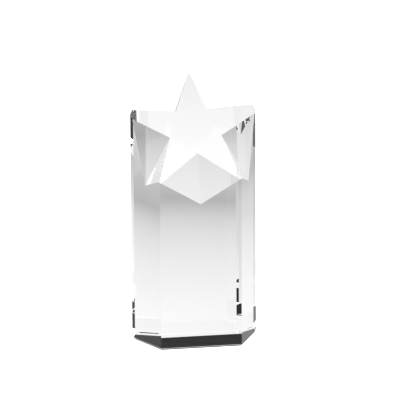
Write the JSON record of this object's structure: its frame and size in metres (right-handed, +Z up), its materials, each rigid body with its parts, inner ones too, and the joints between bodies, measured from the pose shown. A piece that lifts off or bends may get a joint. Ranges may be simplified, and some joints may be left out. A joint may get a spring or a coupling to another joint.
{
  "type": "star trophy",
  "caption": "Clear crystal award: a solid faceted column whose slanted top is cut into a pointed star, resting on a thin dark base pad.",
  "frame": {"origin": "centre of the trophy's footprint box, on the underside of the base pad", "axes": "+Z up, from the table to the top tip of the star; the star and the wide front face look towards -Y; +X is the viewer's right when looking at the front"},
  "size_m": [0.0713, 0.039, 0.15],
  "materials": {
    "crystal": "clear, colourless, polished flat facets",
    "pad": "matte black, bonded to the polished underside"
  },
  "bodies": {
    "root": {"crystal": "crystal", "base_pad": "pad"}
  },
  "joints": []
}
